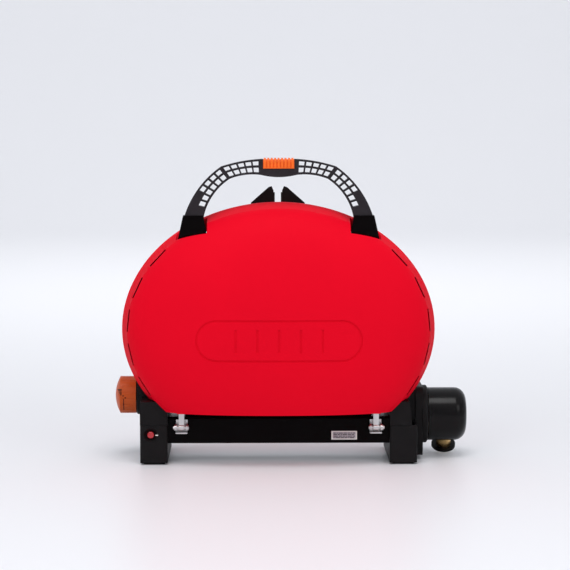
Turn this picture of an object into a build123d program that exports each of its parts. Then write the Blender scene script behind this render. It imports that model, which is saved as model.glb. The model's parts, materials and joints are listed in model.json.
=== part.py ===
from build123d import *
import math
import os

# Portable clam-shell gas grill, standing on the end blocks at its hinge side.
# X runs across the grill, -Y is the lid side, +Y the side that faces the table in use,
# +Z is up as it stands. X = 0 is the middle of the shells and Y = 0 is their seam.
# At export every piece moves so that the origin is the middle of the bottom of the whole.

# ---- driving dimensions, millimetres -------------------------------------------------
SHELL_HALF_WIDTH = 250.0
SHELL_HALF_HEIGHT = 202.0
SHELL_CENTRE_Z = 215.0
SEAM_GAP = 0.5
WALL = 3.0
HINGE_SIDE_Z = 86.0
RIM_CUT_Z = 101.0
LID_DEPTH = 98.0
LID_CREASE_R = 240.0
LID_CREASE_Y = 42.0
BOWL_DEPTH = 80.0
BOWL_CREASE_R = 238.0
BOWL_CREASE_Y = 40.0
VENT_ANGLES = (37.0, 21.0, 5.0, -11.0, -27.0)
VENT_LENGTH = 36.0
VENT_WIDTH = 1.8
BADGE_Z = 205.0
BADGE_HALF = 131.0
BADGE_R = 33.0
BADGE_LINE = 3.0
BADGE_DEPTH = 1.2

TABLE_Y = 132.0
PAD = 3.0
BLOCK_IN = 177.0
BLOCK_OUT = 221.0
BLOCK_FRONT = -38.0
BLOCK_SEAM_Z = 63.5
BLOCK_SLOPE = 8.0
BLOCK_WALL = 3.0
BEAM_LOW = 33.0
BEAM_TOP = 76.0
BEAM_FRONT = -30.0
BEAM_BACK = 60.0

HINGE_X = 154.5
HINGE_Y = -45.0
HINGE_Z = 61.0
HINGE_PIN_R = 2.5
BOSS_LOW = HINGE_SIDE_Z - 2.5
RUNNING = 0.05

PIVOT_Y = -30.0
PIVOT_Z = 369.0
PIVOT_PIN_R = 3.5
SOCKET_R = 12.0
SOCKET_TOP = 398.0
SOCKET_IN = 113.6
SOCKET_OUT = 160.0
POCKET_IN = 113.0
POCKET_OUT = 162.0
HANDLE_SWING = 60.0
ARCH_DEPTH = 16.0
GRIP_HALF = 24.5
GRIP_LOW = 472.0
GRIP_TOP = 488.5
GRIP_RIBS = 9
TONGUE_IN = 131.0
TONGUE_OUT = 143.0
TONGUE_Z = 390.0

LEG_X = 50.0
LEG_Y = 87.0
LEG_TOE_X = 5.0
LEG_THICK = 8.0
LEG_PIN_R = 2.5

KNOB_Y = 45.0
KNOB_Z = 101.5
KNOB_R = 30.0
KNOB_END = -264.0
KNOB_FACE = -230.0
KNOB_FLUTES = 18
BUTTON_X = -204.0
BUTTON_Z = 48.0
BUTTON_R = 5.5
BUTTON_TRAVEL = 4.0

REG_Y = 45.0
REG_Z = 69.0
REG_R = 43.0
REG_FACE = 243.0
REG_END = 305.0
SPIGOT_R = 14.0
INLET_X = 272.0
INLET_TILT = 27.0
INLET_BORE_R = 5.1
INLET_SEAT = 49.5
INLET_MOUTH = 64.0
SEAL_R = 4.6
SEAL_POCKET = 1.5
NECK_R = 12.0
GUARD_R = 19.5
GUARD_THICK = 4.5

GRATE_R = 240.0
BURNER_R = 100.0
BURNER_TUBE_R = 9.0
BURNER_PORTS = 20
TRAY_Y = 68.0
VENTURI_R = 8.0
STEM_R = 4.0
TUBE_R = 3.2
VALVE_X = -203.0
LEAD_R = 1.5
LEAD_Y = 30.0
LEAD_LOW_Z = 94.0
LEAD_Z = 126.0
LEAD_RISE_X = -150.0
LEAD_END_X = -124.0

X_MID = (KNOB_END + REG_END) / 2
Y_MID = (TABLE_Y - LID_DEPTH) / 2


# ---- helpers ---------------------------------------------------------------------------
def block(x0, x1, y0, y1, z0, z1):
    """A box between two corners."""
    centre = Pos((x0 + x1) / 2, (y0 + y1) / 2, (z0 + z1) / 2)
    return centre * Box(abs(x1 - x0), abs(y1 - y0), abs(z1 - z0))


def rod_x(x0, x1, y, z, r):
    """A cylinder along X."""
    return Pos((x0 + x1) / 2, y, z) * Rot(0, 90, 0) * Cylinder(r, abs(x1 - x0))


def rod_y(y0, y1, x, z, r):
    """A cylinder along Y."""
    return Pos(x, (y0 + y1) / 2, z) * Rot(90, 0, 0) * Cylinder(r, abs(y1 - y0))


def rod_z(z0, z1, x, y, r):
    """A cylinder along Z."""
    return Pos(x, y, (z0 + z1) / 2) * Cylinder(r, abs(z1 - z0))


def plate_xz(outline, y0, y1):
    """A sketch drawn in X and Z, made solid between two Y planes."""
    plane = Plane((0, y1, 0), x_dir=(1, 0, 0), z_dir=(0, -1, 0))
    return extrude(plane * outline, amount=y1 - y0)


def plate_yz(outline, x0, x1):
    """A sketch drawn in Y and Z, made solid between two X planes."""
    plane = Plane((x0, 0, 0), x_dir=(0, 1, 0), z_dir=(1, 0, 0))
    return extrude(plane * outline, amount=x1 - x0)


def polygon(*points):
    """A flat face with straight edges."""
    return make_face(Polyline(*points, close=True))


def flip(shape):
    """The same piece on the other side of X = 0."""
    return mirror(shape, about=Plane.YZ)


def both(shape):
    """A piece and its mirror image as one group of separate solids."""
    return Compound(children=[*shape.solids(), *flip(shape).solids()])


def export(name, shape):
    """Write one sub-part, moved to the final frame."""
    placed = Compound(children=[Pos(-X_MID, -Y_MID, 0) * solid for solid in shape.solids()])
    export_step(placed, f"parts/{name}.step")


# ---- shells ------------------------------------------------------------------------------
def shell_form(side, crease_r, crease_y, depth, shrink):
    """One closed half shell, outer when shrink is 0 and inner when it is the wall."""
    rim = SHELL_HALF_WIDTH - shrink
    crease = crease_r - shrink
    seam = side * (SEAM_GAP if shrink == 0 else -1.0)
    band = side * (8.0 - shrink / 3)
    fold = side * (crease_y - shrink / 3)
    top = side * (depth - shrink)
    rise = crease_y + 0.62 * (depth - crease_y)
    outline = [
        Line((0, seam), (rim, seam)),
        Line((rim, seam), (rim, band)),
        Line((rim, band), (crease, fold)),
        Bezier((crease, fold), (crease - 18, side * (rise - shrink)), (0.6 * rim, top), (0, top)),
        Line((0, top), (0, seam)),
    ]
    form = revolve(make_face(outline), Axis.Y, 360)
    form = scale(form, by=(1, 1, SHELL_HALF_HEIGHT / SHELL_HALF_WIDTH))
    return Pos(0, 0, SHELL_CENTRE_Z) * form


def trim(form, crease_r, shrink):
    """Cut a shell form flat at the hinge side, and its rim above the end blocks."""
    squash = SHELL_HALF_HEIGHT / SHELL_HALF_WIDTH
    crease = crease_r - shrink
    tall = block(-300, 300, -200, 200, RIM_CUT_Z + shrink + 1.5, 600)
    low = block(-300, 300, -200, 200, HINGE_SIDE_Z + shrink, RIM_CUT_Z + shrink + 1.5)
    middle = Pos(0, 0, SHELL_CENTRE_Z) * plate_xz(Ellipse(crease, crease * squash), -200, 200)
    return (form & tall) + (form & low & middle)


def pivot_profile(grow):
    """The side view of the space that a handle socket sweeps, about its pivot."""
    r = SOCKET_R + grow
    a = math.radians(HANDLE_SWING)
    foot = (PIVOT_Y - r * math.cos(a), PIVOT_Z - r * math.sin(a))
    toe = (foot[0] - 45 * math.sin(a), foot[1] + 45 * math.cos(a))
    back = PIVOT_Y + r + 1
    eye = Pos(PIVOT_Y, PIVOT_Z) * Circle(r)
    return eye + polygon((PIVOT_Y, PIVOT_Z), foot, toe, (toe[0], 430), (back, 430), (back, PIVOT_Z))


def pocket(grow):
    """The recess for the right-hand handle socket."""
    return plate_yz(pivot_profile(0.8 + grow), POCKET_IN - grow, POCKET_OUT + grow)


def vents():
    """Slots through the lid at its crease, on the right-hand side."""
    cuts = []
    for angle in VENT_ANGLES:
        t = math.radians(angle)
        x = (LID_CREASE_R - 1.0) * math.cos(t)
        dz = (LID_CREASE_R - 1.0) * math.sin(t) * SHELL_HALF_HEIGHT / SHELL_HALF_WIDTH
        turn = math.degrees(math.atan2(dz / SHELL_HALF_HEIGHT**2, x / SHELL_HALF_WIDTH**2))
        slot = Box(VENT_WIDTH, 30, VENT_LENGTH)
        cuts.append(Pos(x, -LID_CREASE_Y - 2, SHELL_CENTRE_Z + dz) * Rot(0, -turn, 0) * slot)
    return cuts


def badge():
    """A plain pressed badge in the dome: a long ring with upright bars inside it."""
    ring = SlotOverall(2 * BADGE_HALF, 2 * BADGE_R)
    ring -= SlotOverall(2 * (BADGE_HALF - BADGE_LINE), 2 * (BADGE_R - BADGE_LINE))
    for number in range(5):
        ring += Pos(34 * (number - 2), 0) * Rectangle(BADGE_LINE, 1.1 * BADGE_R)
    groove = plate_xz(Pos(0, BADGE_Z) * ring, -LID_DEPTH - 5, -LID_CREASE_Y)
    return groove - shell_form(-1, LID_CREASE_R, LID_CREASE_Y, LID_DEPTH, BADGE_DEPTH)


def lid_shell():
    """The lid: a drafted rim band, a crease with vents and a dome, with socket pockets."""
    outer = trim(shell_form(-1, LID_CREASE_R, LID_CREASE_Y, LID_DEPTH, 0), LID_CREASE_R, 0)
    inner = trim(shell_form(-1, LID_CREASE_R, LID_CREASE_Y, LID_DEPTH, WALL), LID_CREASE_R, WALL)
    boss = block(HINGE_X - 7, HINGE_X + 7, HINGE_Y - 5, HINGE_Y + 12, BOSS_LOW, BOSS_LOW + 12)
    pin_boss = rod_x(POCKET_IN - 13, POCKET_IN, PIVOT_Y, PIVOT_Z, 8)
    for piece in (pocket(0), flip(pocket(0))):
        outer -= piece
    for piece in (pocket(WALL), flip(pocket(WALL))):
        inner -= piece
    outer = outer + boss + flip(boss)
    inner = inner - pin_boss - flip(pin_boss)
    lid = outer - inner
    bore = rod_x(POCKET_IN - 20, POCKET_IN + 5, PIVOT_Y, PIVOT_Z, PIVOT_PIN_R + RUNNING)
    corner = block(BLOCK_IN - 1.5, 300, BLOCK_FRONT - 1.5, 20, 60, RIM_CUT_Z + 1.5)
    for cut in [bore, corner, *vents()]:
        lid = lid - cut - flip(cut)
    return lid - badge()


def bowl_outer():
    """The outside form of the bottom shell."""
    return trim(shell_form(1, BOWL_CREASE_R, BOWL_CREASE_Y, BOWL_DEPTH, 0), BOWL_CREASE_R, 0)


def bowl_inner():
    """The inside form of the bottom shell."""
    return trim(shell_form(1, BOWL_CREASE_R, BOWL_CREASE_Y, BOWL_DEPTH, WALL), BOWL_CREASE_R, WALL)


def bottom_shell(outside, inside):
    """The bottom shell, open at the seam, with a hole for the venturi."""
    bowl = outside - inside
    corner = block(BLOCK_IN, 300, -20, 200, 60, RIM_CUT_Z)
    bowl = bowl - corner - flip(corner)
    return bowl - rod_x(-240, -150, KNOB_Y, KNOB_Z, VENTURI_R + 1.0)


# ---- handle ------------------------------------------------------------------------------
def arch_edges():
    """Outer and inner edge of the right half of the handle: slope, then top."""
    slope_out = ThreePointArc((152, 386), (124, 444), (91, 475))
    slope_in = ThreePointArc((120, 386), (105, 428), (77, 456))
    top_out = ThreePointArc((91, 475), (58, 483.3), (28, 486.8))
    top_in = ThreePointArc((77, 456), (48, 462.6), (28, 462))
    return (slope_out, slope_in), (top_out, top_in)


def truss_hole(pair, start, end, low, high):
    """One four-sided hole between the outer and the inner edge."""
    outer, inner = pair

    def spot(along, across):
        a = outer @ along
        b = inner @ along
        return (b.X + (a.X - b.X) * across, b.Y + (a.Y - b.Y) * across)

    return polygon(spot(start, low), spot(end, low), spot(end, high), spot(start, high))


def handle_arch():
    """The carry handle: two rows of holes on each side of a solid middle."""
    slope, top = arch_edges()
    half = make_face([*slope, *top, Line(slope[0] @ 0, slope[1] @ 0), Line(top[0] @ 1, top[1] @ 1)])
    for row in range(5):
        start = 0.03 + 0.19 * row
        half -= truss_hole(top, start, start + 0.145, 0.14, 0.46)
        half -= truss_hole(top, start, start + 0.145, 0.60, 0.87)
    for row in range(6):
        start = 0.30 + 0.115 * row
        half -= truss_hole(slope, start, start + 0.085, 0.14, 0.46)
        if row > 1:
            half -= truss_hole(slope, start, start + 0.085, 0.60, 0.87)
    belly = ThreePointArc((28, 462), (0, 458.5), (-28, 462))
    middle = make_face([belly, Line((-28, 462), (-28, 486.8)), Line((-28, 486.8), (28, 486.8)),
                        Line((28, 486.8), (28, 462))])
    middle -= Pos(0, (GRIP_LOW + 500) / 2) * Rectangle(2 * GRIP_HALF, 500 - GRIP_LOW)
    outline = half + middle + mirror(half, about=Plane.YZ)
    return plate_xz(outline, PIVOT_Y - ARCH_DEPTH / 2, PIVOT_Y + ARCH_DEPTH / 2)


def handle_grip():
    """The ribbed soft grip that sits in the middle of the handle."""
    core = block(-GRIP_HALF, GRIP_HALF, PIVOT_Y - 8.5, PIVOT_Y + 8.5, GRIP_LOW, GRIP_TOP - 2)
    core = fillet(core.edges().filter_by(Axis.X).group_by(Axis.Z)[-1], 5)
    step = 2 * GRIP_HALF / GRIP_RIBS
    for number in range(GRIP_RIBS):
        x = -GRIP_HALF + step * (number + 0.5)
        rib = block(x - step * 0.28, x + step * 0.28, PIVOT_Y - 11, PIVOT_Y + 11,
                    GRIP_LOW + 1, GRIP_TOP)
        core += fillet(rib.edges().filter_by(Axis.X).group_by(Axis.Z)[-1], 5)
    return core


def socket(arch):
    """The right-hand socket: pivot eye below, handle end above, latch tongue behind."""
    front = polygon((SOCKET_IN, PIVOT_Z - 1), (SOCKET_OUT, PIVOT_Z - SOCKET_R), (151, SOCKET_TOP),
                    (119, SOCKET_TOP))
    eye = Pos(PIVOT_Y, PIVOT_Z) * Circle(SOCKET_R)
    side = eye + polygon((PIVOT_Y - SOCKET_R, PIVOT_Z), (PIVOT_Y + SOCKET_R, PIVOT_Z),
                         (PIVOT_Y + SOCKET_R - 2, SOCKET_TOP), (PIVOT_Y - SOCKET_R + 2, SOCKET_TOP))
    body = plate_xz(front, -60, 0) & plate_yz(side, 100, 170)
    tongue = block(TONGUE_IN, TONGUE_OUT, PIVOT_Y, 9, TONGUE_Z, TONGUE_Z + 5)
    body = body + tongue - arch
    return body - rod_x(90, SOCKET_OUT - 12, PIVOT_Y, PIVOT_Z, PIVOT_PIN_R)


def handle_screws(seat):
    """Two screws in the back of the right-hand socket."""
    y = PIVOT_Y + SOCKET_R - 1.2
    return Compound(children=[rod_y(y, y + 2.5, x, 383, 2.6) - seat for x in (125, 148)])


def latch_keeper(outside):
    """The open-topped keeper on the bottom shell that the tongue drops into."""
    body = block(TONGUE_IN - 5, TONGUE_OUT + 5, 1, 12, 372, TONGUE_Z + 7)
    slot = block(TONGUE_IN - 0.7, TONGUE_OUT + 0.7, -5, 20, TONGUE_Z - 0.7, 420)
    return body - slot - outside


# ---- base: beam, end blocks and feet --------------------------------------------------------
def beam():
    """The hollow beam between the end blocks, and its screwed-on back cover."""
    rear = BEAM_BACK - PAD
    outer = block(-BLOCK_IN, BLOCK_IN, BEAM_FRONT, rear, BEAM_LOW, BEAM_TOP)
    outer = fillet(outer.edges().filter_by(Axis.X).group_by(Axis.Y)[0], 4)
    outer += block(-150, 150, 4, 34, BEAM_TOP, HINGE_SIDE_Z)
    inner = block(-BLOCK_IN, BLOCK_IN, BEAM_FRONT + WALL, rear + 1, BEAM_LOW + WALL, BEAM_TOP - 2.5)
    cover = block(-BLOCK_IN, BLOCK_IN, rear, BEAM_BACK, BEAM_LOW, BEAM_TOP)
    return outer - inner, cover


def end_block_lower(side):
    """The lower half of an end block, a box that is open at its seam."""
    low, high = PAD, BLOCK_SEAM_Z - SEAM_GAP
    body = block(BLOCK_IN, BLOCK_OUT, BLOCK_FRONT, TABLE_Y - PAD, low, high)
    body = fillet(body.edges().filter_by(Axis.Z), 3)
    w = BLOCK_WALL
    body -= block(BLOCK_IN + w, BLOCK_OUT - w, BLOCK_FRONT + w, TABLE_Y - PAD - w, low + w, high + 1)
    if side < 0:
        body = flip(body)
        body -= rod_y(BLOCK_FRONT - 1, BLOCK_FRONT + w + 1, BUTTON_X, BUTTON_Z, 12.5)
    return body


def upper_outline(slope):
    """The front outline of the upper half of the right-hand end block."""
    return polygon((BLOCK_IN, BLOCK_SEAM_Z), (BLOCK_OUT - slope, BLOCK_SEAM_Z),
                   (BLOCK_OUT - 1.6 * slope, RIM_CUT_Z), (BLOCK_IN, RIM_CUT_Z))


def end_block_upper(side, outside):
    """The upper half of an end block, shaped to carry the bottom shell."""
    w = BLOCK_WALL
    low, high = BLOCK_SEAM_Z, RIM_CUT_Z
    slope = BLOCK_SLOPE if side > 0 else 0.0
    front = upper_outline(slope)
    hollow = polygon((BLOCK_IN + w, low - 1), (BLOCK_OUT - slope - w, low - 1),
                     (BLOCK_OUT - 1.6 * slope - w, high - w), (BLOCK_IN + w, high - w))
    body = plate_xz(front, BLOCK_FRONT, TABLE_Y - PAD)
    body = fillet(body.edges().filter_by(Axis.Y).group_by(Axis.Z)[-1], 2)
    body -= plate_xz(hollow, BLOCK_FRONT + w, TABLE_Y - PAD - w)
    if side > 0:
        return body - rod_x(BLOCK_IN - 1, BLOCK_OUT + 9, REG_Y, REG_Z, TUBE_R)
    tower = block(BLOCK_IN + 8, BLOCK_OUT, KNOB_Y - 33, KNOB_Y + 33, high, KNOB_Z + 33)
    tower = fillet(tower.edges().filter_by(Axis.X).group_by(Axis.Z)[-1], 20)
    core = block(BLOCK_IN + 11, BLOCK_OUT - w, KNOB_Y - 29, KNOB_Y + 29, high - w - 1, KNOB_Z + 20)
    body = flip(body + tower - core - outside)
    body -= rod_x(-BLOCK_OUT - 1, -BLOCK_OUT + w + 1, KNOB_Y, KNOB_Z, STEM_R + 1)
    body -= rod_x(-BLOCK_IN - 14, -BLOCK_IN + 1, KNOB_Y, KNOB_Z, VENTURI_R + 1)
    body -= rod_x(-BLOCK_IN - 9, -BLOCK_IN + 1, LEAD_Y, LEAD_LOW_Z, LEAD_R)
    return body - rod_x(-BLOCK_IN - 9, -BLOCK_IN + 1, REG_Y, REG_Z, TUBE_R)


def standing_pads():
    """Rubber pads under both end blocks."""
    return both(block(BLOCK_IN + 5, BLOCK_OUT - 5, BLOCK_FRONT + 8, TABLE_Y - 14, 0, PAD))


def table_pads():
    """Rubber pads on the back of both end blocks, for use on a table."""
    return both(block(BLOCK_IN + 5, BLOCK_OUT - 5, TABLE_Y - PAD, TABLE_Y, 12, 56))


def block_screws():
    """Screw heads that hold the halves of each end block, on its back."""
    rear = TABLE_Y - PAD
    spots = [(BLOCK_IN + 10, 70), (BLOCK_OUT - 16, 70), (BLOCK_IN + 10, 92), (BLOCK_OUT - 16, 92)]
    heads = [rod_y(rear, rear + 2, x, z, 3.2) - rod_y(rear + 1, rear + 3, x, z, 1.2)
             for x, z in spots]
    return both(Compound(children=heads))


# ---- hinges ------------------------------------------------------------------------------------
def hinge_strap():
    """The right-hand strap: a knuckle on the hinge pin and a tail under the lid boss."""
    tail = block(HINGE_X - 4.3, HINGE_X + 4.3, HINGE_Y - 2.5, HINGE_Y + 2.5, HINGE_Z, BOSS_LOW)
    knuckle = rod_x(HINGE_X - 4.3, HINGE_X + 4.3, HINGE_Y, HINGE_Z, 5)
    return tail + knuckle - rod_x(HINGE_X - 9, HINGE_X + 9, HINGE_Y, HINGE_Z, HINGE_PIN_R + RUNNING)


def hinge_bracket():
    """The right-hand clevis on the beam, with the stop plate below the pin."""
    body = block(HINGE_X - 9.2, HINGE_X + 9.2, BEAM_FRONT - 2, BEAM_FRONT, 50, 72)
    stop = block(HINGE_X - 9.2, HINGE_X + 9.2, HINGE_Y - 5, BEAM_FRONT, 52, 54)
    body += stop
    for x in (HINGE_X - 8.2, HINGE_X + 8.2):
        ear = rod_x(x - 1, x + 1, HINGE_Y, HINGE_Z, 6)
        body += ear + block(x - 1, x + 1, HINGE_Y, BEAM_FRONT, HINGE_Z - 6, HINGE_Z + 6)
    return body - rod_x(HINGE_X - 15, HINGE_X + 15, HINGE_Y, HINGE_Z, HINGE_PIN_R)


def hinge_pin():
    """The right-hand hinge pin with its head."""
    pin = rod_x(HINGE_X - 11.5, HINGE_X + 13.4, HINGE_Y, HINGE_Z, HINGE_PIN_R)
    return pin + rod_x(HINGE_X + 9.2, HINGE_X + 11.4, HINGE_Y, HINGE_Z, 4.6)


def pin_clip():
    """The retaining clip on the other end of the right-hand pin."""
    ring = rod_x(HINGE_X - 10.6, HINGE_X - 9.3, HINGE_Y, HINGE_Z, 4.4)
    return ring - rod_x(HINGE_X - 12, HINGE_X - 9, HINGE_Y, HINGE_Z, HINGE_PIN_R)


# ---- cooking parts -----------------------------------------------------------------------------
def grate():
    """The right-hand half of the cooking grate, a rim with bars across it."""
    squash = SHELL_HALF_HEIGHT / SHELL_HALF_WIDTH
    outer = Ellipse(GRATE_R, GRATE_R * squash)
    inner = Ellipse(GRATE_R - 9, (GRATE_R - 9) * squash)
    keep = Pos(125 + 1, 0) * Rectangle(250, 2 * (SHELL_CENTRE_Z - RIM_CUT_Z - 8))
    face = outer & keep
    windows = inner & (Pos(125 + 9, 0) * Rectangle(250, 2 * (SHELL_CENTRE_Z - RIM_CUT_Z - 16)))
    bars = [Pos(22 + 17 * n, 0) * Rectangle(7, 500) for n in range(12)]
    for bar in bars:
        windows -= bar
    windows -= Rectangle(500, 7)
    return Pos(0, 0, SHELL_CENTRE_Z) * plate_xz(face - windows, 3, 11)


def burner_tube():
    """The plain round tube of the burner."""
    tube = revolve(Pos(BURNER_R, 0) * Circle(BURNER_TUBE_R), Axis.Y, 360)
    return Pos(0, KNOB_Y, KNOB_Z + BURNER_R) * tube


def burner_ring():
    """The burner tube with its row of flame ports."""
    ports = []
    for number in range(BURNER_PORTS):
        a = 2 * math.pi * (number + 0.4) / BURNER_PORTS
        x = BURNER_R * math.cos(a)
        z = KNOB_Z + BURNER_R + BURNER_R * math.sin(a)
        ports.append(rod_y(KNOB_Y - BURNER_TUBE_R - 1, KNOB_Y - 4, x, z, 1.5))
    return burner_tube() - ports


def venturi_tube(ring):
    """The mixing tube from the valve into the bottom of the burner ring."""
    tube = rod_x(-188, -4, KNOB_Y, KNOB_Z, VENTURI_R)
    tube -= rod_x(-189, -160, KNOB_Y, KNOB_Z, VENTURI_R - 1.5)
    return tube - ring


def burner_posts(ring, inside):
    """Three posts that carry the burner off the floor of the bottom shell."""
    posts = []
    for angle in (30, 150, 270):
        a = math.radians(angle)
        x = BURNER_R * math.cos(a)
        z = KNOB_Z + BURNER_R + BURNER_R * math.sin(a)
        posts.append((rod_y(KNOB_Y + 4, BOWL_DEPTH, x, z, 5) & inside) - ring)
    return Compound(children=posts)


def drip_tray():
    """The shallow grease pan between the burner and the shell."""
    pan = rod_y(TRAY_Y - 8, TRAY_Y, 0, KNOB_Z + BURNER_R, 78)
    return pan - rod_y(TRAY_Y - 9, TRAY_Y - 1.5, 0, KNOB_Z + BURNER_R, 76.5)


def tray_studs(inside):
    """Short studs between the grease pan and the floor of the shell."""
    z = KNOB_Z + BURNER_R
    return Compound(children=[rod_y(TRAY_Y, BOWL_DEPTH, x, z, 4) & inside for x in (-50, 50)])


def electrode(inside):
    """The ceramic, the pin whose tip is over the flame ports, and their post."""
    ceramic = rod_x(LEAD_END_X, LEAD_END_X + 24, LEAD_Y, LEAD_Z, 4)
    pin = rod_x(LEAD_END_X + 24, LEAD_END_X + 58, LEAD_Y, LEAD_Z, 1.2)
    post = rod_y(LEAD_Y, BOWL_DEPTH, LEAD_END_X + 12, LEAD_Z, 3) & inside
    return ceramic, pin, post - ceramic


# ---- gas and ignition ---------------------------------------------------------------------------
def supply_tube():
    """The gas tube from the regulator, through the beam, up to the valve."""
    path = FilletPolyline((REG_FACE - 10, REG_Y, REG_Z), (VALVE_X, REG_Y, REG_Z),
                          (VALVE_X, REG_Y, KNOB_Z - 11), radius=12)
    section = Plane(path @ 0, z_dir=path % 0) * Circle(TUBE_R)
    return sweep(section, path=path)


def gas_valve(outside):
    """The valve body behind the knob, with a bore for the stem."""
    body = rod_x(VALVE_X - 8, VALVE_X + 8, KNOB_Y, KNOB_Z, 11)
    body += rod_x(VALVE_X + 8, VALVE_X + 15, KNOB_Y, KNOB_Z, 4)
    return body - rod_x(VALVE_X - 9, VALVE_X + 2, KNOB_Y, KNOB_Z, STEM_R + RUNNING) - outside


def knob_bezel():
    """The black collar behind the knob."""
    ring = rod_x(KNOB_FACE + 1, -BLOCK_OUT, KNOB_Y, KNOB_Z, KNOB_R + 2)
    ring = fillet(ring.edges().sort_by(Axis.X)[0], 2)
    return ring - rod_x(-BLOCK_OUT - 12, -BLOCK_OUT + 1, KNOB_Y, KNOB_Z, STEM_R + 1)


def control_knob():
    """The knob: a drum with a domed end and fine grip flutes."""
    rise = 8.0
    dome_r = (KNOB_R**2 + rise**2) / (2 * rise)
    drum = rod_x(KNOB_END, KNOB_FACE, KNOB_Y, KNOB_Z, KNOB_R)
    drum = drum & (Pos(KNOB_END + dome_r, KNOB_Y, KNOB_Z) * Sphere(dome_r))
    flutes = [rod_x(KNOB_FACE - 12, KNOB_FACE + 1, KNOB_Y, KNOB_Z, STEM_R)]
    for number in range(KNOB_FLUTES):
        a = 2 * math.pi * (number + 0.3) / KNOB_FLUTES
        y = KNOB_Y + (KNOB_R + 1.4) * math.cos(a)
        z = KNOB_Z + (KNOB_R + 1.4) * math.sin(a)
        flutes.append(rod_x(KNOB_FACE - 22, KNOB_FACE - 2, y, z, 2))
    return drum - flutes


def valve_stem():
    """The stem that joins the knob to the valve."""
    return rod_x(KNOB_FACE - 12, VALVE_X + 1.5, KNOB_Y, KNOB_Z, STEM_R)


def igniter_dish():
    """The dished housing round the igniter button."""
    front = BLOCK_FRONT - 0.8
    dish = rod_y(front, BLOCK_FRONT + 12, BUTTON_X, BUTTON_Z, 12.5)
    bowl = Pos(BUTTON_X, front, BUTTON_Z) * Rot(-90, 0, 0) * Cone(
        11.2, 6.5, 6, align=(Align.CENTER, Align.CENTER, Align.MIN))
    return dish - bowl - rod_y(front - 1, BLOCK_FRONT + 13, BUTTON_X, BUTTON_Z, BUTTON_R + 0.3)


def igniter_button():
    """The push button with its domed face."""
    button = rod_y(BLOCK_FRONT + 0.5, BLOCK_FRONT + 9, BUTTON_X, BUTTON_Z, BUTTON_R)
    return fillet(button.edges().sort_by(Axis.Y)[0], 1.5)


def igniter_spring():
    """The return spring between the button and the piezo unit, as a sleeve."""
    y = BLOCK_FRONT + 9
    return rod_y(y, y + 9, BUTTON_X, BUTTON_Z, 4.2) - rod_y(y - 1, y + 10, BUTTON_X, BUTTON_Z, 3.2)


def piezo_unit():
    """The piezo unit behind the igniter."""
    y = BLOCK_FRONT + 18
    return rod_y(y, y + 36, BUTTON_X, BUTTON_Z, 9)


def ignition_lead():
    """The lead from the piezo unit, through the end block, to the electrode."""
    path = FilletPolyline((BUTTON_X, BLOCK_FRONT + 54, BUTTON_Z), (BUTTON_X, LEAD_Y, BUTTON_Z),
                          (BUTTON_X, LEAD_Y, LEAD_LOW_Z), (LEAD_RISE_X, LEAD_Y, LEAD_LOW_Z),
                          (LEAD_RISE_X, LEAD_Y, LEAD_Z), (LEAD_END_X, LEAD_Y, LEAD_Z), radius=8)
    section = Plane(path @ 0, z_dir=path % 0) * Circle(LEAD_R)
    return sweep(section, path=path)


def regulator_side_plate(outside):
    """The plate on the right-hand end block that carries the regulator, and its inner web."""
    plate = block(BLOCK_OUT, REG_FACE - 10, 2, 88, 6, 118)
    plate = fillet(plate.edges().filter_by(Axis.X), 14)
    web = block(BLOCK_IN + 12, BLOCK_OUT, 6, 84, BLOCK_SEAM_Z, 114)
    plate += web - plate_xz(upper_outline(BLOCK_SLOPE), 0, 90) - outside
    return plate - rod_x(BLOCK_IN, REG_FACE, REG_Y, REG_Z, TUBE_R)


def regulator_collar():
    """The round seat that the regulator swivels on."""
    seat = rod_x(REG_FACE - 10, REG_FACE - 1, REG_Y, REG_Z, 47)
    seat = fillet(seat.edges().sort_by(Axis.X)[-1], 3)
    spigot = rod_x(REG_FACE - 10, REG_FACE + 9, REG_Y, REG_Z, SPIGOT_R)
    return seat + spigot - rod_x(REG_FACE - 11, REG_FACE + 10, REG_Y, REG_Z, TUBE_R)


def inlet_place(distance):
    """A place on the inlet's axis, with +Z pointing out of it."""
    a = math.radians(INLET_TILT)
    out = Vector(0, math.sin(a), -math.cos(a))
    return Plane(Vector(INLET_X, REG_Y, REG_Z) + out * distance, x_dir=(1, 0, 0), z_dir=out)


def inlet_rod(start, end, r):
    """A cylinder on the inlet's axis."""
    return extrude(inlet_place(start) * Circle(r), amount=end - start)


def regulator_cap():
    """The cup-shaped cover of the regulator."""
    cap = rod_x(REG_FACE, REG_END, REG_Y, REG_Z, REG_R)
    cap = fillet(cap.edges().sort_by(Axis.X)[-1], 19)
    core = rod_x(REG_FACE - 1, REG_END - 2.5, REG_Y, REG_Z, REG_R - 2.5)
    core = fillet(core.edges().sort_by(Axis.X)[-1], 16.5)
    return cap - core - inlet_rod(30, 50, NECK_R)


def regulator_body():
    """The regulator inside the cap, turning on the spigot."""
    body = rod_x(REG_FACE + 1, REG_FACE + 42, REG_Y, REG_Z, 32)
    return body - rod_x(REG_FACE, REG_FACE + 12, REG_Y, REG_Z, SPIGOT_R + RUNNING)


def gas_inlet(body):
    """The brass neck of the regulator, with the threaded seat for the bottle's valve."""
    neck = inlet_rod(20, INLET_MOUTH, NECK_R) - body
    neck -= inlet_rod(INLET_SEAT, INLET_MOUTH + 1, INLET_BORE_R)
    neck -= inlet_rod(INLET_SEAT - SEAL_POCKET, INLET_SEAT + 1, SEAL_R)
    return neck - inlet_rod(33, INLET_SEAT, 1.5)


def inlet_guard():
    """The round guard on the mouth of the brass neck."""
    start = INLET_MOUTH - GUARD_THICK
    return inlet_rod(start, INLET_MOUTH, GUARD_R) - inlet_rod(start - 1, INLET_MOUTH + 1, NECK_R)


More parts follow.
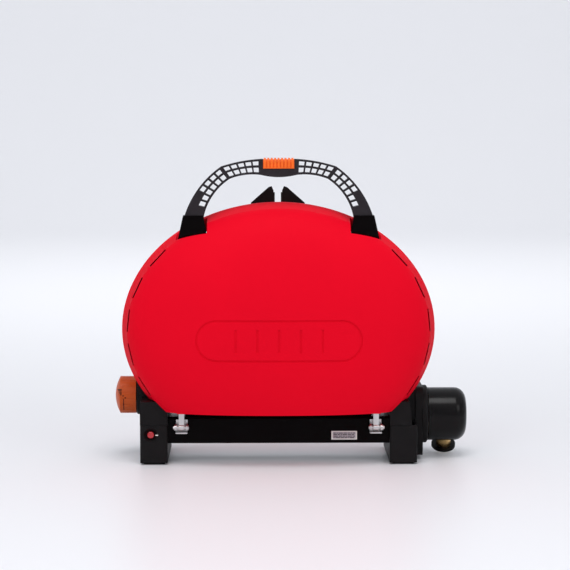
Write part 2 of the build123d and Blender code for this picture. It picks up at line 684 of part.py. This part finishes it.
def inlet_seal():
    """The rubber ring in its pocket, just below the threaded bore."""
    low = INLET_SEAT - SEAL_POCKET
    return inlet_rod(low, INLET_SEAT - 0.2, SEAL_R) - inlet_rod(low - 1, INLET_SEAT + 1, 2.6)


# ---- front legs ------------------------------------------------------------------------------------
def front_leg():
    """The right-hand folding leg: a fin with a knuckle on its pin."""
    y0, y1 = LEG_Y - LEG_THICK / 2, LEG_Y + LEG_THICK / 2
    fin = polygon((LEG_TOE_X + 2, 352), (LEG_TOE_X + 2, 431), (LEG_TOE_X + 5, 438), (LEG_TOE_X + 10, 436.5),
                  (44, 411), (44, 392), (LEG_X, 392), (LEG_X, 356), (44, 356), (40, 352))
    leg = plate_xz(fin, y0, y1) + rod_z(356, 392, LEG_X, LEG_Y, LEG_THICK / 2 + 1)
    return leg - rod_z(340, 400, LEG_X, LEG_Y, LEG_PIN_R + RUNNING)


def toe_pad():
    """The rubber edge of the right-hand leg, which meets the table."""
    return block(LEG_TOE_X, LEG_TOE_X + 2, LEG_Y - LEG_THICK / 2, LEG_Y + LEG_THICK / 2, 356, 428)


def leg_bracket(outside):
    """The right-hand bracket on the bottom shell, with an ear above and below the leg."""
    back = LEG_Y - LEG_THICK / 2 - 1.6
    base = block(LEG_X - 7, LEG_X + 13, 60, back, 341, 403)
    ears = block(LEG_X - 5.5, LEG_X + 5.5, 60, LEG_Y, 341, 355.7)
    ears += block(LEG_X - 5.5, LEG_X + 5.5, 60, LEG_Y, 392.3, 403)
    ears += rod_z(341, 355.7, LEG_X, LEG_Y, 5.5) + rod_z(392.3, 403, LEG_X, LEG_Y, 5.5)
    body = base + ears - rod_z(330, 410, LEG_X, LEG_Y, LEG_PIN_R)
    return body - outside


def leg_pin():
    """The right-hand leg's pin."""
    return rod_z(339, 405, LEG_X, LEG_Y, LEG_PIN_R) + rod_z(403, 405.5, LEG_X, LEG_Y, 4.2)


def build():
    """Every sub-part by name."""
    outside = bowl_outer()
    inside = bowl_inner()
    arch = handle_arch()
    ring = burner_tube()
    beam_front, beam_cover = beam()
    ceramic, spark_pin, spark_post = electrode(inside)
    right_socket = socket(arch)
    right_grate = grate()
    body = regulator_body()
    right_leg = front_leg()
    pivot_pin = rod_x(POCKET_IN - 13, SOCKET_OUT - 12, PIVOT_Y, PIVOT_Z, PIVOT_PIN_R)
    label = block(84, 125, BEAM_FRONT - 0.4, BEAM_FRONT, 39, 53)
    return {
        "lid_shell": lid_shell(),
        "hinge_strap_right": hinge_strap(),
        "hinge_strap_left": flip(hinge_strap()),
        "handle_arch": arch,
        "handle_grip": handle_grip(),
        "handle_socket_right": right_socket,
        "handle_socket_left": flip(right_socket),
        "handle_screws": both(handle_screws(right_socket)),
        "handle_pivot_pins": both(pivot_pin),
        "bottom_shell": bottom_shell(outside, inside),
        "latch_keepers": both(latch_keeper(outside)),
        "cooking_grate_right": right_grate,
        "cooking_grate_left": flip(right_grate),
        "burner_ring": burner_ring(),
        "venturi_tube": venturi_tube(ring),
        "burner_posts": burner_posts(ring, inside),
        "drip_tray": drip_tray(),
        "tray_studs": tray_studs(inside),
        "electrode_ceramic": ceramic,
        "spark_pin": spark_pin,
        "electrode_post": spark_post,
        "ignition_lead": ignition_lead(),
        "rear_beam": beam_front,
        "rear_beam_cover": beam_cover,
        "end_block_right_lower": end_block_lower(1),
        "end_block_left_lower": end_block_lower(-1),
        "end_block_right_upper": end_block_upper(1, outside),
        "end_block_left_upper": end_block_upper(-1, outside),
        "standing_pads": standing_pads(),
        "table_pads": table_pads(),
        "block_screws": block_screws(),
        "hinge_brackets": both(hinge_bracket()),
        "hinge_pins": both(hinge_pin()),
        "hinge_pin_clips": both(pin_clip()),
        "rating_label": label,
        "gas_supply_tube": supply_tube(),
        "gas_valve": gas_valve(outside),
        "knob_bezel": knob_bezel(),
        "control_knob": control_knob(),
        "valve_stem": valve_stem(),
        "igniter_dish": igniter_dish(),
        "igniter_button": igniter_button(),
        "igniter_spring": igniter_spring(),
        "piezo_unit": piezo_unit(),
        "regulator_side_plate": regulator_side_plate(outside),
        "regulator_collar": regulator_collar(),
        "regulator_cap": regulator_cap(),
        "regulator_body": body,
        "gas_inlet": gas_inlet(body),
        "inlet_guard": inlet_guard(),
        "inlet_seal": inlet_seal(),
        "front_leg_right": right_leg,
        "front_leg_left": flip(right_leg),
        "toe_pad_right": toe_pad(),
        "toe_pad_left": flip(toe_pad()),
        "leg_brackets": both(leg_bracket(outside)),
        "leg_pins": both(leg_pin()),
    }


os.makedirs("parts", exist_ok=True)
for name, shape in build().items():
    export(name, shape)
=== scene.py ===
"""Portable clam-shell grill: materials, detailed pieces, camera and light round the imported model."""
import json
import math

import bmesh
import bpy
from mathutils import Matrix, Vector


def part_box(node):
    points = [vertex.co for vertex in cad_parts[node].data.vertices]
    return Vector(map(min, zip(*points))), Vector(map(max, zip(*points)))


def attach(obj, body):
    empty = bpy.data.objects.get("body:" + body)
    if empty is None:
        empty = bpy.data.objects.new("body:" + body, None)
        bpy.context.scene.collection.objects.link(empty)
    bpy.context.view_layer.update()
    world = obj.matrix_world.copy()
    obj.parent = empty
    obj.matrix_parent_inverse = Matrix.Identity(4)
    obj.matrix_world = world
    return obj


MM = 0.001
EVEN = (1, 1, 1)
RED = (0.76, 0.0022, 0.016)
GLOSS_BLACK = (0.003, 0.0022, 0.0024)

# Printed marks: how far a mark reaches past its surface, on the drum of the knob and on a flat.
MARK_DEPTH = 0.2 * MM
PRINT_DEPTH = 0.1 * MM

# Rounded edges: their width, and the smallest angle in degrees that counts as an edge.
EDGE_WIDTH = 0.7 * MM
EDGE_ANGLE = 40

# The beam and the handle sockets reflect less than the regulator's cap, in the same black.
CAP_SPECULAR = 0.16
DEEP_SPECULAR = 0.03
DEEP_BLACK_NODES = ["rear_beam", "rear_beam_cover", "handle_socket_right", "handle_socket_left"]
SOFT_EDGED = ["end_block_right_lower", "end_block_left_lower", "end_block_right_upper",
              "end_block_left_upper", "rear_beam", "handle_socket_right", "handle_socket_left",
              "front_leg_right", "front_leg_left"]

# Camera: place and target in metres, and the focal length on a 36 mm wide sensor.
CAMERA_PLACE = (-0.0614, -3.506, 0.62)
CAMERA_TARGET = (-0.0106, -0.055, 0.2879)
CAMERA_LENS = 138.4
CAMERA_SENSOR = 36.0

# Studio: a round floor that curves up into a wall, pale surroundings and soft square lights,
# each with its place, aim, size in metres and power in watts.
FLOOR_COLOUR = (0.82, 0.82, 0.84)
FLOOR_FLAT = 5.0
FLOOR_BEND = 2.6
FLOOR_RISE = 2.4
FLOOR_AROUND = 96
FLOOR_STEPS = 16
WORLD_COLOUR = (0.92, 0.95, 1.0, 1)
WORLD_STRENGTH = 0.76
MIDDLE = (0, 0, 0.2)
LIGHTS = {
    "key_light": ((-1.5, -2.6, 2.3), MIDDLE, 1.3, 19),
    "fill_light": ((1.9, -2.5, 1.8), MIDDLE, 1.3, 13),
    "overhead_light": ((0, -1.5, 3.6), (0, -0.4, 0), 1.6, 50),
    "backdrop_light": ((0, 2.2, 3.2), (0, 6.5, 0.4), 2.0, 72),
}

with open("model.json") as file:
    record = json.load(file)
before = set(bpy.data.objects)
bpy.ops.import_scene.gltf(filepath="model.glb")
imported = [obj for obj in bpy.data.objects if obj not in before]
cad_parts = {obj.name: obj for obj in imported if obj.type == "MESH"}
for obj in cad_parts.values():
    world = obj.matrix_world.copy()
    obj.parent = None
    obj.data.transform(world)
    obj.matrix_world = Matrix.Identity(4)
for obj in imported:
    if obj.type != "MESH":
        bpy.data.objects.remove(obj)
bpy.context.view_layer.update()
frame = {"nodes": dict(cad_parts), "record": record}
nodes = frame["nodes"]


# ---- materials ---------------------------------------------------------------------------
def new_material(name, colour, roughness, metallic=0.0, coat=0.0, coat_roughness=0.1, specular=0.5):
    """A Principled material with its even values set on the shader."""
    material = bpy.data.materials.new(name)
    material.use_nodes = True
    shader = material.node_tree.nodes["Principled BSDF"]
    shader.inputs["Base Color"].default_value = (*colour, 1.0)
    shader.inputs["Roughness"].default_value = roughness
    shader.inputs["Metallic"].default_value = metallic
    shader.inputs["Coat Weight"].default_value = coat
    shader.inputs["Coat Roughness"].default_value = coat_roughness
    shader.inputs["Specular IOR Level"].default_value = specular
    return material


def add_node(material, kind, **inputs):
    """A shader node with some of its sockets set."""
    node = material.node_tree.nodes.new(kind)
    for key, value in inputs.items():
        node.inputs[key.replace("_", " ")].default_value = value
    return node


def link(material, source, target):
    """Joins an output socket to an input socket."""
    material.node_tree.links.new(source, target)


def object_coordinates(material, stretch=EVEN):
    """Object coordinates in metres, stretched by the given factors."""
    coordinates = add_node(material, "ShaderNodeTexCoord")
    mapping = add_node(material, "ShaderNodeMapping", Scale=stretch)
    link(material, coordinates.outputs["Object"], mapping.inputs["Vector"])
    return mapping.outputs["Vector"]


def vary(material, colour, spread, scale, detail=4.0, stretch=EVEN):
    """Base colour drifts by a share of itself with soft noise."""
    noise = add_node(material, "ShaderNodeTexNoise", Scale=scale, Detail=detail)
    link(material, object_coordinates(material, stretch), noise.inputs["Vector"])
    ramp = material.node_tree.nodes.new("ShaderNodeValToRGB")
    ramp.color_ramp.elements[0].position = 0.3
    ramp.color_ramp.elements[1].position = 0.7
    ramp.color_ramp.elements[0].color = (*[c * (1 - spread) for c in colour], 1)
    ramp.color_ramp.elements[1].color = (*[min(1, c * (1 + spread)) for c in colour], 1)
    link(material, noise.outputs["Fac"], ramp.inputs["Fac"])
    shader = material.node_tree.nodes["Principled BSDF"]
    link(material, ramp.outputs["Color"], shader.inputs["Base Color"])


def vary_roughness(material, low, high, scale, stretch=EVEN):
    """Roughness drifts between two values with noise."""
    noise = add_node(material, "ShaderNodeTexNoise", Scale=scale, Detail=5.0)
    link(material, object_coordinates(material, stretch), noise.inputs["Vector"])
    ranged = add_node(material, "ShaderNodeMapRange", To_Min=low, To_Max=high)
    link(material, noise.outputs["Fac"], ranged.inputs["Value"])
    shader = material.node_tree.nodes["Principled BSDF"]
    link(material, ranged.outputs["Result"], shader.inputs["Roughness"])


def bump(material, layers):
    """Fine relief: layers of (kind, scale, height in metres, stretch)."""
    normal = None
    for kind, scale, height, stretch in layers:
        if kind == "cells":
            texture = add_node(material, "ShaderNodeTexVoronoi", Scale=scale)
            value = texture.outputs["Distance"]
        else:
            texture = add_node(material, "ShaderNodeTexNoise", Scale=scale, Detail=3.0)
            value = texture.outputs["Fac"]
        link(material, object_coordinates(material, stretch), texture.inputs["Vector"])
        relief = add_node(material, "ShaderNodeBump", Strength=1.0, Distance=height)
        link(material, value, relief.inputs["Height"])
        if normal is not None:
            link(material, normal, relief.inputs["Normal"])
        normal = relief.outputs["Normal"]
    link(material, normal, material.node_tree.nodes["Principled BSDF"].inputs["Normal"])


def finish_material(material, colour, layers, spread, scale, rough, rough_scale, stretch=EVEN):
    """Colour drift, roughness drift and relief in one call."""
    vary(material, colour, spread, scale, stretch=stretch)
    vary_roughness(material, rough[0], rough[1], rough_scale, stretch=stretch)
    bump(material, layers)
    return material


def red_enamel():
    """Satin red baked enamel with a fine orange peel."""
    material = new_material("red_enamel", RED, roughness=0.55, specular=0.03)
    layers = [("noise", 420, 0.00005, EVEN), ("noise", 60, 0.00008, EVEN)]
    return finish_material(material, RED, layers, spread=0.03, scale=6,
                           rough=(0.50, 0.60), rough_scale=25)


def black_plastic(name, colour, rough, grain, height):
    """Moulded black plastic with spark-eroded grain."""
    material = new_material(name, colour, roughness=rough[0], specular=0.13)
    layers = [("cells", grain, height, EVEN), ("noise", grain * 0.4, height, EVEN)]
    return finish_material(material, colour, layers, spread=0.15, scale=30,
                           rough=rough, rough_scale=80)


def gloss_black(name, specular):
    """Smooth glossy black moulding."""
    material = new_material(name, GLOSS_BLACK, roughness=0.18, specular=specular)
    layers = [("noise", 90, 0.00004, EVEN)]
    return finish_material(material, GLOSS_BLACK, layers, spread=0.1, scale=20,
                           rough=(0.16, 0.26), rough_scale=60)


def orange_rubber():
    """Soft-touch orange of the grip."""
    colour = (0.90, 0.15, 0.012)
    material = new_material("orange_rubber", colour, roughness=0.5, specular=0.25)
    layers = [("cells", 1500, 0.00004, EVEN)]
    return finish_material(material, colour, layers, spread=0.07, scale=40,
                           rough=(0.42, 0.56), rough_scale=120)


def orange_plastic():
    """Satin burnt orange of the knob."""
    colour = (0.54, 0.085, 0.011)
    material = new_material("orange_plastic", colour, roughness=0.38, specular=0.2)
    layers = [("cells", 1200, 0.00003, EVEN)]
    return finish_material(material, colour, layers, spread=0.06, scale=50,
                           rough=(0.32, 0.44), rough_scale=90)


def bright_steel():
    """Bright steel with fine brushing."""
    colour = (0.62, 0.61, 0.61)
    material = new_material("bright_steel", colour, roughness=0.3, metallic=1.0)
    layers = [("noise", 900, 0.00003, (1, 1, 0.15))]
    return finish_material(material, colour, layers, spread=0.08, scale=60,
                           rough=(0.24, 0.4), rough_scale=300, stretch=(1, 1, 0.2))


def cast_iron():
    """Enamelled cast iron."""
    colour = (0.035, 0.034, 0.036)
    material = new_material("cast_iron", colour, roughness=0.6, specular=0.3)
    layers = [("noise", 350, 0.00018, EVEN), ("cells", 900, 0.00008, EVEN)]
    return finish_material(material, colour, layers, spread=0.25, scale=30,
                           rough=(0.5, 0.7), rough_scale=60)


def brass():
    """Machined brass."""
    colour = (0.70, 0.46, 0.19)
    material = new_material("machined_brass", colour, roughness=0.28, metallic=1.0)
    layers = [("noise", 700, 0.00003, EVEN)]
    return finish_material(material, colour, layers, spread=0.1, scale=50,
                           rough=(0.22, 0.36), rough_scale=250)


def red_button():
    """Glossy red button."""
    colour = (0.42, 0.004, 0.012)
    material = new_material("red_button", colour, roughness=0.25, coat=0.4)
    layers = [("noise", 500, 0.00002, EVEN)]
    return finish_material(material, colour, layers, spread=0.08, scale=80,
                           rough=(0.2, 0.3), rough_scale=150)


def black_rubber():
    """Matt black rubber."""
    colour = (0.012, 0.012, 0.012)
    material = new_material("matt_rubber", colour, roughness=0.75, specular=0.3)
    layers = [("cells", 900, 0.00006, EVEN)]
    return finish_material(material, colour, layers, spread=0.2, scale=60,
                           rough=(0.65, 0.85), rough_scale=120)


def label_paper(name, colour):
    """Printed label stock."""
    material = new_material(name, colour, roughness=0.5)
    layers = [("noise", 1500, 0.00001, EVEN)]
    return finish_material(material, colour, layers, spread=0.04, scale=200,
                           rough=(0.42, 0.55), rough_scale=200)


def ceramic():
    """Glazed white ceramic."""
    colour = (0.80, 0.78, 0.72)
    material = new_material("glazed_ceramic", colour, roughness=0.2, coat=0.5)
    layers = [("noise", 300, 0.00002, EVEN)]
    return finish_material(material, colour, layers, spread=0.05, scale=80,
                           rough=(0.15, 0.25), rough_scale=90)


MATERIALS = {
    "red_paint": red_enamel(),
    "steel": bright_steel(),
    "handle_black": black_plastic("handle_plastic", (0.022, 0.018, 0.021), rough=(0.38, 0.5),
                                  grain=1400, height=0.00005),
    "grip_orange": orange_rubber(),
    "knob_orange": orange_plastic(),
    "gloss_black": gloss_black("gloss_black_plastic", CAP_SPECULAR),
    "satin_black": black_plastic("satin_black_plastic", (0.006, 0.005, 0.0053), rough=(0.4, 0.55),
                                 grain=1300, height=0.00006),
    "black_rubber": black_rubber(),
    "iron": cast_iron(),
    "brass": brass(),
    "button_red": red_button(),
    "label_grey": label_paper("label_stock", (0.42, 0.38, 0.41)),
    "white_ceramic": ceramic(),
}

DEEP_BLACK = gloss_black("deep_black_plastic", DEEP_SPECULAR)


def dress(piece, slot):
    """Gives a piece the material of a slot."""
    piece.data.materials.clear()
    piece.data.materials.append(MATERIALS[slot])


def soften(piece):
    """Rounds the sharp edges of a moulded or folded piece."""
    edges = piece.modifiers.new("soft_edges", "BEVEL")
    edges.width = EDGE_WIDTH
    edges.segments = 2
    edges.limit_method = "ANGLE"
    edges.angle_limit = math.radians(EDGE_ANGLE)
    edges.harden_normals = True


for entry in frame["record"]["subparts"]:
    dress(nodes[entry["node"]], entry["material_slot"])
for name in DEEP_BLACK_NODES:
    nodes[name].data.materials[0] = DEEP_BLACK
for name in SOFT_EDGED:
    soften(nodes[name])


# ---- detailed pieces -----------------------------------------------------------------------
def centre_of(node):
    """The middle of a node's box at rest."""
    low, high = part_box(node)
    return (Vector(low) + Vector(high)) / 2


def new_piece(name, vertices, faces, body, slot):
    """A mesh piece that rides a body."""
    mesh = bpy.data.meshes.new(name)
    mesh.from_pydata(vertices, [], faces)
    mesh.validate()
    form = bmesh.new()
    form.from_mesh(mesh)
    bmesh.ops.recalc_face_normals(form, faces=form.faces)
    form.to_mesh(mesh)
    form.free()
    piece = bpy.data.objects.new(name, mesh)
    bpy.context.scene.collection.objects.link(piece)
    dress(piece, slot)
    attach(piece, body)
    return piece


def grid_slab(place, across, along):
    """A closed thin slab: place(u, v, side) gives its points, side 0 below and 1 above."""
    vertices = [place(i / across, j / along, side)
                for side in (0, 1) for i in range(across + 1) for j in range(along + 1)]
    row, layer = along + 1, (across + 1) * (along + 1)
    faces = []
    for i in range(across):
        for j in range(along):
            a = i * row + j
            faces.append((a, a + 1, a + row + 1, a + row))
            faces.append((layer + a, layer + a + row, layer + a + row + 1, layer + a + 1))
    rim = [i * row for i in range(across)] + [across * row + j for j in range(along)]
    rim += [i * row + along for i in range(across, 0, -1)] + [j for j in range(along, 0, -1)]
    for a, b in zip(rim, rim[1:] + rim[:1]):
        faces.append((a, b, layer + b, layer + a))
    return vertices, faces


def gather(slabs):
    """Several closed slabs as one list of points and faces."""
    vertices, faces = [], []
    for points, sides in slabs:
        faces += [tuple(len(vertices) + i for i in side) for side in sides]
        vertices += points
    return vertices, faces


def drum_mark(axis, radius, x_range, angles):
    """A printed mark on the front of a drum along X; angles rise from the front, in degrees."""
    degrees_a_step = 4

    def place(u, v, side):
        turn = math.radians(angles[0] + (angles[1] - angles[0]) * v)
        reach = radius + (2 * side - 1) * MARK_DEPTH
        return (x_range[0] + (x_range[1] - x_range[0]) * u,
                axis.y - reach * math.cos(turn), axis.z + reach * math.sin(turn))
    return grid_slab(place, 1, max(2, round(abs(angles[1] - angles[0]) / degrees_a_step)))


def knob_marks():
    """A pointer line with a short bar on each side, and above them five bars that grow longer."""
    low, high = map(Vector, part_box("control_knob"))
    axis = (low + high) / 2
    radius = (high.z - low.z) / 2
    line_x, line_width, line_angles = low.x + 13.6 * MM, 1.1 * MM, (-48, -6)
    marks = [drum_mark(axis, radius, (line_x, line_x + line_width), line_angles)]
    side_width, side_height = 2 * MM, 3.4
    for x, angle in ((line_x - 1.2 * MM, 2), (line_x + 2.6 * MM, -4)):
        marks.append(drum_mark(axis, radius, (x, x + side_width), (angle, angle + side_height)))
    bar_end, bar_height, first_angle, angle_step = line_x - 2.4 * MM, 2.2, 6, 4.2
    shortest, growth = 3.0, 0.9
    for number in range(5):
        angle = first_angle + angle_step * number
        width = (shortest + growth * number) * MM
        marks.append(drum_mark(axis, radius, (bar_end - width, bar_end), (angle, angle + bar_height)))
    new_piece("knob_marks", *gather(marks), "knob", "satin_black")


def front_plate(x_range, z_range, y, depth):
    """A thin closed plate on a face that looks to the front."""
    def place(u, v, side):
        return (x_range[0] + (x_range[1] - x_range[0]) * u, y - depth * side,
                z_range[0] + (z_range[1] - z_range[0]) * v)
    return grid_slab(place, 1, 1)


def label_print():
    """A plain border and rows of short bars, with no words."""
    low, high = map(Vector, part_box("rating_label"))
    margin, line, side_line, gap = 0.3 * MM, 1.5 * MM, 2.0 * MM, 0.9 * MM
    across = (low.x + margin, high.x - margin)
    upright = (low.z + line, high.z - line)
    border = [(across, (low.z + margin, low.z + line)),
              (across, (high.z - line, high.z - margin)),
              ((low.x + margin, low.x + side_line), upright),
              ((high.x - side_line, high.x - margin), upright)]
    plates = [front_plate(xs, zs, low.y, PRINT_DEPTH) for xs, zs in border]
    new_piece("label_border", *gather(plates), "base", "white_ceramic")
    inset, start, least_room, end_room = 2.2 * MM, 1.2 * MM, 3 * MM, 1 * MM
    shortest, growth = 2.2, 1.7
    unit = (high.z - low.z) / 7
    bar_height, row_step = 0.55 * unit, 1.25 * unit
    bars = []
    for row in range(4):
        x, number = low.x + inset + start, row
        z = low.z + row_step * (1 + row)
        while x < high.x - inset - least_room:
            length = (shortest + growth * (number * 7 % 4)) * MM
            end = min(x + length, high.x - inset - end_room)
            bars.append(front_plate((x, end), (z, z + bar_height), low.y, PRINT_DEPTH))
            x += length + gap
            number += 1
    new_piece("label_bars", *gather(bars), "base", "satin_black")


def igniter_dish_highlight():
    """A small pale patch beside the igniter button, on its dish: a painted highlight standing in for the
    light reflected in the dish.
    """
    dish_low, dish_high = map(Vector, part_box("igniter_dish"))
    button = centre_of("igniter_button")
    length, half_height, depth, share_of_dish = 4.2 * MM, 0.8 * MM, 0.15 * MM, 0.62
    x = button.x + share_of_dish * (dish_high.x - dish_low.x) / 2
    heights = (button.z - half_height, button.z + half_height)
    # Pale patch placed where the glossy dish reflects the lamps: painted highlight, not print.
    plate = front_plate((x, x + length), heights, dish_low.y, depth)
    new_piece("igniter_dish_highlight", *plate, "base", "white_ceramic")


knob_marks()
label_print()
igniter_dish_highlight()


# ---- camera, light and floor ---------------------------------------------------------------
def add_camera():
    """The photographer's place: a long lens a little above the handle."""
    camera_data = bpy.data.cameras.new("camera")
    camera_data.lens = CAMERA_LENS
    camera_data.sensor_width = CAMERA_SENSOR
    camera_data.clip_end = 50.0
    camera = bpy.data.objects.new("camera", camera_data)
    bpy.context.scene.collection.objects.link(camera)
    camera.location = CAMERA_PLACE
    camera.rotation_euler = (Vector(CAMERA_TARGET) - camera.location).to_track_quat("-Z", "Y").to_euler()
    bpy.context.scene.camera = camera


def add_light(name, place, aim, size, power):
    """A soft square area light that looks at a point."""
    data = bpy.data.lights.new(name, "AREA")
    data.shape = "SQUARE"
    data.size = size
    data.energy = power
    light = bpy.data.objects.new(name, data)
    bpy.context.scene.collection.objects.link(light)
    light.location = place
    light.rotation_euler = (Vector(aim) - Vector(place)).to_track_quat("-Z", "Y").to_euler()


def add_floor():
    """A pale round studio floor that curves up into its wall on every side."""
    profile = [(0.0, 0.0), (FLOOR_FLAT, 0.0)]
    for step in range(1, FLOOR_STEPS + 1):
        turn = math.radians(90 * step / FLOOR_STEPS)
        profile.append((FLOOR_FLAT + FLOOR_BEND * math.sin(turn), FLOOR_BEND * (1 - math.cos(turn))))
    profile.append((FLOOR_FLAT + FLOOR_BEND, FLOOR_BEND + FLOOR_RISE))
    vertices, faces = [(0.0, 0.0, 0.0)], []
    for radius, z in profile[1:]:
        for number in range(FLOOR_AROUND):
            turn = 2 * math.pi * number / FLOOR_AROUND
            vertices.append((radius * math.cos(turn), radius * math.sin(turn), z))
    for number in range(FLOOR_AROUND):
        after = (number + 1) % FLOOR_AROUND
        faces.append((0, 1 + number, 1 + after))
        for ring in range(len(profile) - 2):
            a = 1 + ring * FLOOR_AROUND
            faces.append((a + number, a + FLOOR_AROUND + number, a + FLOOR_AROUND + after, a + after))
    mesh = bpy.data.meshes.new("floor")
    mesh.from_pydata(vertices, [], faces)
    mesh.shade_smooth()
    floor = bpy.data.objects.new("floor", mesh)
    bpy.context.scene.collection.objects.link(floor)
    floor.data.materials.append(new_material("pale_floor", FLOOR_COLOUR, roughness=0.4, specular=0.25))


def add_world():
    """Pale surroundings."""
    world = bpy.data.worlds.new("pale_world")
    bpy.context.scene.world = world
    world.use_nodes = True
    world.node_tree.nodes["Background"].inputs["Color"].default_value = WORLD_COLOUR
    world.node_tree.nodes["Background"].inputs["Strength"].default_value = WORLD_STRENGTH


add_camera()
add_world()
add_floor()
for name, (place, aim, size, power) in LIGHTS.items():
    add_light(name, place, aim, size, power)
bpy.context.scene.view_settings.view_transform = "Standard"
